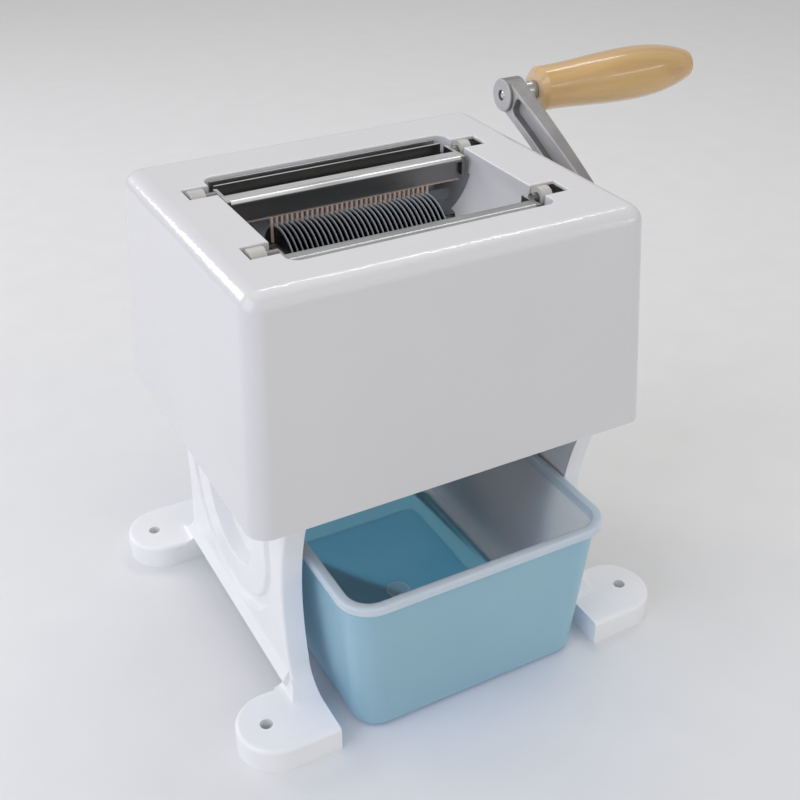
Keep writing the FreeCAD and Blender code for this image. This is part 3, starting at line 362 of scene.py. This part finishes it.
def blade_steel(name, painted_shade, edge, axis, inner, outer):
    """Steel disc with painted shade: its flat is near black for the shade between the blades,
    and its ground rim is bright, partly a painted highlight.

    axis is the y and z of its shaft; the flat turns into the edge between the radii inner
    and outer.
    """
    finish = Finish(name, Specular_IOR_Level=0.25)
    _, y, z = finish.axes(finish.mapped(shift=(0.0, -axis[0], -axis[1])))
    out = finish.share(finish.root_of_squares(y, z), inner, outer)
    stain = finish.noise(scale=140.0, detail=4.0)
    # Painted shade: the flat takes the near-black colour; the rim takes the edge colour, partly
    # a painted highlight.
    flat = finish.ramp(stain, (0.3, tinted(painted_shade, 0.6)), (0.75, tinted(painted_shade, 2.2)))
    finish.set("Base Color", finish.mix(finish.ramp(out, (0.55, 0.0), (0.9, 1.0)), flat, edge))
    finish.set("Metallic", finish.ramp(out, (0.5, 0.9), (0.95, 0.25)))
    finish.set("Roughness", finish.ramp(out, (0.5, 0.42), (0.95, 0.24)))
    finish.bump(finish.noise(scale=900.0, detail=2.0, stretch=(1.0, 0.3, 0.3)),
                strength=0.1, distance=0.03 * MM)
    return finish.material


def nylon(name, value):
    """Matt cream nylon with faint mould flow."""
    finish = Finish(name, Roughness=0.45)
    flow = finish.noise(scale=160.0, stretch=(0.35, 1.0, 1.0))
    finish.set("Base Color", finish.ramp(flow, (0.3, tinted(value, 0.9)),
                                         (0.7, tinted(value, 1.06))))
    finish.bump(flow, strength=0.12, distance=0.1 * MM)
    return finish.material


def cast_aluminium(name, value, rim):
    """Aluminium casting with painted shade: faces that look along X take the brighter colour,
    and the faces round its rim the darker, shaded one.
    """
    finish = Finish(name, Metallic=0.3)
    skin = finish.noise(scale=420.0, detail=4.0, rough=0.6)
    cloud = finish.noise(scale=55.0)
    # Painted shade: faces that look along X get the lit colour, the rest the shaded rim colour.
    lit_side_mask = finish.maths("ABSOLUTE", finish.facing()[0])
    sides = finish.ramp(cloud, (0.3, tinted(value, 0.88)), (0.7, tinted(value, 1.08)))
    edges = finish.ramp(cloud, (0.3, tinted(rim, 0.86)), (0.7, tinted(rim, 1.1)))
    finish.set("Base Color", finish.mix(finish.ramp(lit_side_mask, (0.25, 0.0), (0.75, 1.0)), edges,
                                        sides))
    finish.set("Roughness", finish.ramp(skin, (0.3, 0.3), (0.7, 0.46)))
    finish.bump(skin, strength=0.12, distance=0.1 * MM)
    return finish.material


def lacquered_wood(name, value, grain, end, axis):
    """Pale turned wood, its grain along X and its ends lighter, under clear lacquer.

    axis is the y and z of the middle of the grip.
    """
    finish = Finish(name, Coat_Weight=0.9, Coat_Roughness=0.1)
    about = finish.mapped(scale=(0.09, 1.0, 1.0), shift=(0.0, -axis[0], -axis[1]))
    rings = finish.node("ShaderNodeTexWave", {
        "Vector": about, "Scale": 55.0, "Distortion": 5.0, "Detail": 3.0,
        "Detail Scale": 1.2, "Detail Roughness": 0.6,
    }, wave_type="BANDS", bands_direction="Y").outputs["Fac"]
    fibre = finish.noise(scale=650.0, detail=4.0, rough=0.65, stretch=(0.04, 1.0, 1.0))
    broad = finish.noise(scale=60.0, stretch=(0.12, 1.0, 1.0))
    lines = finish.mix(0.35, finish.ramp(rings, (0.15, 1.0), (0.7, 0.0)),
                       finish.ramp(fibre, (0.3, 1.0), (0.62, 0.0)))
    body = finish.ramp(broad, (0.3, tinted(value, 0.9)), (0.7, tinted(value, 1.08)))
    amount = finish.maths("MULTIPLY", lines, 0.45)
    # Faces that look along X take the lighter end colour.
    along = finish.maths("ABSOLUTE", finish.facing()[0])
    finish.set("Base Color", finish.mix(finish.ramp(along, (0.55, 0.0), (0.85, 1.0)),
                                        finish.mix(amount, body, grain), end))
    finish.set("Roughness", finish.ramp(fibre, (0.3, 0.42), (0.7, 0.3)))
    finish.bump(fibre, strength=0.05, distance=0.05 * MM)
    return finish.material


def frosted_plastic(name, wall, inner, floor, rim, low, high, gate):
    """Frosted translucent plastic, with painted light on the walls' inner faces, painted shade
    that darkens the floor to a deeper blue, a painted highlight round the gate mark, and milky
    at the rim.

    low and high are the tray's height range; gate is the x, y and radius of its gate mark.
    """
    finish = Finish(name, IOR=1.49, Transmission_Weight=0.1, Subsurface_Weight=0.85,
                    Subsurface_Scale=14 * MM)
    finish.shader.inputs["Subsurface Radius"].default_value = (0.7, 0.9, 1.0)
    gate_x, gate_y, gate_r = gate
    x, y, height = finish.axes()
    x_facing, y_facing, up_facing = finish.facing()
    east = finish.maths("SUBTRACT", x, gate_x)
    north = finish.maths("SUBTRACT", y, gate_y)
    haze = finish.noise(scale=26.0)

    # Walls: hazy outside; the faces that look to the tray's middle are painted much lighter, as
    # painted light that stands in for light coming through the walls.
    blend = 20 * MM
    outward = finish.maths("ADD", finish.maths("MULTIPLY", east, x_facing),
                           finish.maths("MULTIPLY", north, y_facing))
    lit_inward_mask = finish.ramp(finish.share(outward, blend, -blend), (0.4, 0.0), (0.6, 1.0))
    side = finish.mix(finish.ramp(haze, (0.3, 0.0), (0.75, 0.25)), wall, tinted(wall, 1.25))
    side = finish.mix(lit_inward_mask, side, inner)

    # By share of the tray's height: rim above; below, painted shade that darkens the floor to a
    # deeper blue, with the gate mark on it.
    up = finish.share(height, low, high)
    side = finish.mix(finish.ramp(up, (0.938, 0.0), (0.945, 1.0)), side, rim)
    # Painted shade: low faces that look up take the darker floor colour.
    bottom = finish.ramp(up_facing, (0.8, 0.0), (0.97, 1.0))
    floor_shade_mask = finish.maths("MULTIPLY", bottom, finish.ramp(up, (0.05, 1.0), (0.3, 0.0)))
    from_gate = finish.maths("DIVIDE", finish.root_of_squares(east, north), gate_r)
    # Painted highlight: a full-strength ring of the rim colour round the gate mark's edge, as
    # if its step caught the light; the disc inside is about half way to the rim colour.
    ring = finish.ramp(from_gate, (0.0, 0.55), (0.8, 0.45), (0.86, 1.0), (1.0, 1.0),
                       (1.04, 0.0))
    finish.set("Base Color", finish.mix(finish.maths("MULTIPLY", ring, floor_shade_mask),
                                        finish.mix(floor_shade_mask, side, floor), rim))
    finish.set("Roughness", finish.ramp(haze, (0.3, 0.29), (0.7, 0.4)))
    finish.bump(finish.noise(scale=34.0, detail=0.0), strength=0.12, distance=0.3 * MM)
    return finish.material


# ------------------------------------------------------------------ pieces
RECORD = frame["record"]
BODY_OF = {node: body for body, nodes in RECORD["behaviour"]["bodies"].items()
           for node in nodes}


def put(name, bm, material):
    """A new object from a bmesh, smooth up to its real edges."""
    mesh = bpy.data.meshes.new(name)
    bm.to_mesh(mesh)
    bm.free()
    mesh.shade_smooth()
    mesh.set_sharp_from_angle(angle=CREASE)
    mesh.materials.append(material)
    piece = bpy.data.objects.new(name, mesh)
    bpy.context.scene.collection.objects.link(piece)
    return piece


def even_normals(piece):
    """Each corner takes the mean normal, by area, of the faces round it within the crease."""
    mesh = piece.data
    limit = math.cos(CREASE)
    about = [[] for _ in mesh.vertices]
    for face in mesh.polygons:
        for vert in face.vertices:
            about[vert].append((face.normal.copy(), face.area))
    normals = []
    for face in mesh.polygons:
        for vert in face.vertices:
            total = Vector()
            for normal, area in about[vert]:
                if normal.dot(face.normal) > limit:
                    total += normal * area
            normals.append(total.normalized() if total.length > 0 else face.normal.copy())
    mesh.normals_split_custom_set(normals)
    return piece


def add_on(piece, node):
    """The piece rides the node's body."""
    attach(piece, BODY_OF[node])


def stand_in(piece, node):
    """The piece goes with the node's body and is shown in the node's place."""
    add_on(piece, node)
    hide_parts(node)


def solid_copy(node, name, material):
    """The node's own shape, merged and shaded as one skin."""
    bm = bmesh.new()
    bm.from_mesh(frame["nodes"][node].data)
    bmesh.ops.remove_doubles(bm, verts=bm.verts, dist=MERGE)
    bmesh.ops.dissolve_degenerate(bm, dist=MERGE, edges=bm.edges)
    bmesh.ops.dissolve_limit(bm, angle_limit=FLAT, use_dissolve_boundaries=False,
                             verts=bm.verts, edges=bm.edges)
    stand_in(even_normals(put(name, bm, material)), node)


def middle(node):
    """Middle of a node's box, and its half sizes."""
    low, high = (Vector(corner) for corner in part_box(node))
    return (low + high) / 2, (high - low) / 2


def circle(bm, centre, radius, sides):
    """Edges of a circle that faces along X."""
    made = bmesh.ops.create_circle(bm, cap_ends=False, radius=radius, segments=sides,
                                   matrix=Matrix.Translation(centre) @ FACE_ALONG_X)
    return list(dict.fromkeys(edge for vert in made["verts"] for edge in vert.link_edges))


def turned(bm, profile, centre, steps):
    """Spin a profile of (x, radius) pairs about the line along X through centre."""
    verts = [bm.verts.new(centre + Vector((x, 0, r))) for x, r in profile]
    edges = [bm.edges.new(pair) for pair in zip(verts, verts[1:])]
    bmesh.ops.spin(bm, geom=verts + edges, cent=centre, axis=(1, 0, 0),
                   angle=2 * math.pi, steps=steps, use_merge=True)
    bmesh.ops.remove_doubles(bm, verts=bm.verts, dist=MERGE / 2)
    bmesh.ops.recalc_face_normals(bm, faces=bm.faces)


# ------------------------------------------------------------------ operators
class SLICER_OT_hood(Operator):
    """White hood and the four screws that hold it"""

    bl_idname = "slicer.hood"
    bl_label = "Hood"

    def execute(self, context):
        finish = context.scene.slicer_finishes
        solid_copy("hood", "hood_cover", gloss_white("hood_white", finish.hood))
        solid_copy("hood_screws", "hood_screw_set", turned_steel("screw_steel", finish.steel))
        return {"FINISHED"}


class SLICER_OT_end_frames(Operator):
    """Two cast end frames with their feet, tie rods, nuts and bushes"""

    bl_idname = "slicer.end_frames"
    bl_label = "End frames"

    def execute(self, context):
        finish = context.scene.slicer_finishes
        paint = cast_paint("frame_white", finish.casting)
        solid_copy("left_end_frame", "left_casting", paint)
        solid_copy("right_end_frame", "right_casting", paint)
        steel = turned_steel("rod_steel", finish.steel, 0.34)
        solid_copy("tie_rods", "tie_rod_set", steel)
        solid_copy("tie_rod_nuts", "tie_nut_set", steel)
        solid_copy("bearing_bushes", "bush_set", turned_steel("bronze", finish.bronze, 0.36))
        return {"FINISHED"}


def blade(bm, centre, sizes, radius):
    """One disc: hexagon hole, flat land and a ground edge on both sides."""
    half = sizes.blade_thick / 2
    sides = sizes.blade_sides
    corner = sizes.hexagon / math.sqrt(3)
    step = Vector((half, 0, 0))

    def hexagon(at):
        edges = circle(bm, at, corner, HEXAGON_SIDES)
        made = bmesh.ops.subdivide_edges(bm, edges=edges, cuts=sides // HEXAGON_SIDES - 1)
        return [e for e in made["geom_split"] if isinstance(e, bmesh.types.BMEdge)]

    hole_a = hexagon(centre - step)
    land_a = circle(bm, centre - step, radius - sizes.blade_bevel, sides)
    rim = circle(bm, centre, radius, sides)
    land_b = circle(bm, centre + step, radius - sizes.blade_bevel, sides)
    hole_b = hexagon(centre + step)
    loops = [hole_a, land_a, rim, land_b, hole_b, hole_a]
    for near, far in zip(loops, loops[1:]):
        bmesh.ops.bridge_loops(bm, edges=near + far)
    bmesh.ops.recalc_face_normals(bm, faces=bm.faces)


class SLICER_OT_rollers(Operator):
    """Two arbors with their packs of round blades and the collars at their ends"""

    bl_idname = "slicer.rollers"
    bl_label = "Blade rollers"

    def execute(self, context):
        finish = context.scene.slicer_finishes
        sizes = context.scene.slicer_sizes
        steel = turned_steel("arbor_steel", finish.steel)
        for side in ("front", "rear"):
            solid_copy(side + "_arbor", side + "_shaft", steel)
            solid_copy(side + "_pack_collars", side + "_collar_set", steel)
            node = side + "_blades"
            centre, half = middle(node)
            radius = half.z / math.cos(math.pi / SOLID_BLADE_SIDES)
            count = round((2 * half.x - sizes.blade_thick) / sizes.blade_pitch) + 1
            first = Vector((centre.x - half.x + sizes.blade_thick / 2, centre.y, centre.z))
            bm = bmesh.new()
            blade(bm, first, sizes, radius)
            material = blade_steel(side + "_blade_steel", finish.blade, finish.blade_edge_and_highlight,
                                   (centre.y, centre.z), radius - 2 * sizes.blade_bevel, radius)
            pack = put(side + "_blade_pack", bm, material)
            copies = pack.modifiers.new("Blades on the arbor", "ARRAY")
            copies.count = count
            copies.use_relative_offset = False
            copies.use_constant_offset = True
            copies.constant_offset_displace = (sizes.blade_pitch, 0, 0)
            stand_in(pack, node)
        return {"FINISHED"}


class SLICER_OT_gears(Operator):
    """Gear pair at the left end and the nuts on the shafts"""

    bl_idname = "slicer.gears"
    bl_label = "Gears"

    def execute(self, context):
        finish = context.scene.slicer_finishes
        steel = turned_steel("gear_steel", finish.steel, 0.32)
        for node, name in (("drive_gear", "drive_wheel"), ("driven_gear", "driven_wheel"),
                           ("drive_gear_nut", "drive_wheel_nut"),
                           ("rear_arbor_nuts", "rear_shaft_nuts")):
            solid_copy(node, name, steel)
        return {"FINISHED"}


class SLICER_OT_combs(Operator):
    """Two combs: folded sheets with fingers, end plates and rods"""

    bl_idname = "slicer.combs"
    bl_label = "Combs"

    def execute(self, context):
        finish = context.scene.slicer_finishes
        sizes = context.scene.slicer_sizes
        back_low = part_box("rear_comb_back")[0][2]
        front_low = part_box("front_comb_sheet")[0][2]
        rear = comb_steel("rear_comb_steel", finish.bar, finish.bar_painted_shade, finish.finger,
                          back_low + sizes.finger_root, sizes.finger_fade)
        # Painted shade: the front comb is the rear comb's steel made darker, for the shade it
        # stands in.
        front = comb_steel("front_comb_steel", tinted(finish.bar, 0.6), finish.bar_painted_shade,
                           finish.finger, front_low + sizes.front_root, sizes.finger_fade)
        rod = turned_steel("comb_rod_steel", tinted(finish.bar, 0.3), 0.34)
        for side, sheet in (("rear", rear), ("front", front)):
            solid_copy(side + "_comb_sheet", side + "_comb", sheet)
            solid_copy(side + "_comb_ends", side + "_comb_end_plates", sheet)
            solid_copy(side + "_comb_rod", side + "_comb_bar", rod)
        # The plate has no fingers, so their tint ends below it.
        # The back plate's upright face also takes the painted shade of the comb steel.
        plain = comb_steel("rear_plate_steel", finish.bar, finish.bar_painted_shade, finish.bar,
                           back_low - sizes.finger_root, sizes.finger_fade)
        solid_copy("rear_comb_back", "rear_comb_back_plate", plain)
        self.guard(sizes, plain)
        return {"FINISHED"}

    def guard(self, sizes, material):
        """Angle sheet behind the rear comb: a foot on the back plate and an upright face."""
        (x0, _, _), (x1, back_y, top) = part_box("rear_comb_back")
        t = sizes.guard_thick
        low, far = top - sizes.guard_high, back_y + sizes.guard_off
        outline = [(back_y, low), (far, low), (far, top), (far - t, top), (far - t, low + t),
                   (back_y, low + t)]
        bm = bmesh.new()
        ring = [bm.verts.new((x0, y, z)) for y, z in outline]
        face = bm.faces.new(ring)
        made = bmesh.ops.extrude_face_region(bm, geom=[face])["geom"]
        moved = [v for v in made if isinstance(v, bmesh.types.BMVert)]
        bmesh.ops.translate(bm, verts=moved, vec=(x1 - x0, 0, 0))
        bmesh.ops.recalc_face_normals(bm, faces=bm.faces)
        bmesh.ops.bevel(bm, geom=bm.edges[:], offset=0.2 * t, segments=2, profile=0.5,
                        affect="EDGES", material=-1)
        add_on(put("rear_comb_guard", bm, material), "rear_comb_back")


class SLICER_OT_comb_pins(Operator):
    """Nylon pins that hang the combs in the hood"""

    bl_idname = "slicer.comb_pins"
    bl_label = "Comb pins"

    def execute(self, context):
        material = nylon("pin_nylon", context.scene.slicer_finishes.nylon)
        for side in ("rear", "front"):
            solid_copy(side + "_comb_pins", side + "_pin_set", material)
        return {"FINISHED"}


class SLICER_OT_crank(Operator):
    """Cast crank arm, its short shaft, washer and nut, and the riveted spindle"""

    bl_idname = "slicer.crank"
    bl_label = "Crank"

    def execute(self, context):
        finish = context.scene.slicer_finishes
        sizes = context.scene.slicer_sizes
        solid_copy("crank_arm", "crank_casting",
                   cast_aluminium("crank_cast", finish.crank, finish.crank_shaded_rim))
        steel = turned_steel("crank_steel", finish.steel, 0.26)
        for node, name in (("crank_stub", "crank_shaft"), ("crank_washer", "crank_ring"),
                           ("crank_nut", "crank_cap_nut"), ("handle_spindle", "grip_spindle"),
                           ("handle_washer", "grip_washer"), ("handle_ferrule", "grip_sleeve")):
            solid_copy(node, name, steel)
        spindle_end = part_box("handle_spindle")[0][0]
        axis = middle("wooden_handle")[0]
        bm = bmesh.new()
        turned(bm, [(x * MM, share * sizes.rivet_r) for x, share in RIVET_OUTLINE],
               Vector((spindle_end, axis.y, axis.z)), RIVET_STEPS)
        add_on(put("spindle_rivet", bm, turned_steel("rivet_steel", finish.bar, 0.2)),
               "handle_spindle")
        return {"FINISHED"}


class SLICER_OT_grip(Operator):
    """Turned wooden grip"""

    bl_idname = "slicer.grip"
    bl_label = "Wooden grip"

    def execute(self, context):
        finish = context.scene.slicer_finishes
        axis = middle("wooden_handle")[0]
        solid_copy("wooden_handle", "wooden_grip",
                   lacquered_wood("grip_wood", finish.wood, finish.wood_grain,
                                  finish.wood_end, (axis.y, axis.z)))
        return {"FINISHED"}


class SLICER_OT_tray(Operator):
    """Translucent catch tray"""

    bl_idname = "slicer.tray"
    bl_label = "Catch tray"

    def execute(self, context):
        finish = context.scene.slicer_finishes
        low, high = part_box("catch_tray")
        centre = middle("catch_tray")[0]
        gate = (centre.x, centre.y, context.scene.slicer_sizes.gate_r)
        solid_copy("catch_tray", "tray",
                   frosted_plastic("tray_frosted", finish.tray, finish.tray_inside_lit,
                                   finish.tray_floor_shaded, finish.tray_rim, low[2], high[2], gate))
        return {"FINISHED"}


def lamp(name, at, towards, size, power, tint):
    """Soft lamp, size wide and high, that faces a point."""
    data = bpy.data.lights.new(name, "AREA")
    data.shape = "RECTANGLE"
    data.size, data.size_y = size
    data.energy = power
    data.color = tint
    made = bpy.data.objects.new(name, data)
    bpy.context.scene.collection.objects.link(made)
    made.location = at
    made.rotation_euler = (Vector(towards) - Vector(at)).to_track_quat("-Z", "Y").to_euler()


class SLICER_OT_stage(Operator):
    """Pale floor, soft lamps and the camera"""

    bl_idname = "slicer.stage"
    bl_label = "Stage"

    def execute(self, context):
        scene = context.scene
        stage = scene.slicer_stage
        scene.view_settings.view_transform = "Standard"

        bm = bmesh.new()
        bmesh.ops.create_grid(bm, x_segments=1, y_segments=1, size=FLOOR_HALF)
        paper = Finish("floor_paper", Roughness=0.7)
        fibre = paper.noise(scale=30.0, detail=4.0)
        paper.set("Base Color", paper.ramp(fibre, (0.3, tinted(stage.floor, 0.985)),
                                           (0.7, tinted(stage.floor, 1.01))))
        floor = put("floor", bm, paper.material)

        world = bpy.data.worlds.new("studio")
        world.use_nodes = True
        background = world.node_tree.nodes["Background"]
        background.inputs["Color"].default_value = (1.0, 1.0, 1.0, 1.0)
        background.inputs["Strength"].default_value = stage.sky
        scene.world = world

        for name, (at, towards, size, tint) in LAMPS.items():
            lamp(name, at, towards, size, getattr(stage, name), tint)

        data = bpy.data.cameras.new("camera")
        data.lens = stage.lens
        data.sensor_width = SENSOR_WIDTH
        data.clip_start = NEAREST_SEEN
        camera = bpy.data.objects.new("camera", data)
        scene.collection.objects.link(camera)
        camera.location = stage.camera_at
        camera.rotation_euler = (math.pi / 2 - stage.camera_down, 0.0, -stage.camera_turn)
        scene.camera = camera
        return {"FINISHED"}


OPERATORS = (
    SLICER_OT_hood, SLICER_OT_end_frames, SLICER_OT_rollers, SLICER_OT_gears,
    SLICER_OT_combs, SLICER_OT_comb_pins, SLICER_OT_crank, SLICER_OT_grip,
    SLICER_OT_tray, SLICER_OT_stage,
)


class SLICER_PT_panel(Panel):
    """Buttons for the pieces, and their colours and sizes"""

    bl_idname = "SLICER_PT_panel"
    bl_label = "Meat slicer"
    bl_space_type = "VIEW_3D"
    bl_region_type = "UI"
    bl_category = "Slicer"

    def draw(self, context):
        for operator in OPERATORS:
            self.layout.operator(operator.bl_idname)
        for group in (context.scene.slicer_finishes, context.scene.slicer_sizes,
                      context.scene.slicer_stage):
            box = self.layout.box()
            for name in group.bl_rna.properties.keys():
                if name not in ("rna_type", "name"):
                    box.prop(group, name)


GROUPS = {
    "slicer_finishes": SlicerFinishes,
    "slicer_sizes": SlicerSizes,
    "slicer_stage": SlicerStage,
}
CLASSES = tuple(GROUPS.values()) + OPERATORS + (SLICER_PT_panel,)


def register():
    for made in CLASSES:
        bpy.utils.register_class(made)
    for name, group in GROUPS.items():
        setattr(bpy.types.Scene, name, PointerProperty(type=group))


def unregister():
    for name in GROUPS:
        delattr(bpy.types.Scene, name)
    for made in reversed(CLASSES):
        bpy.utils.unregister_class(made)


def main():
    register()
    for operator in OPERATORS:
        family, name = operator.bl_idname.split(".")
        getattr(getattr(bpy.ops, family), name)()


if __name__ == "__main__":
    main()
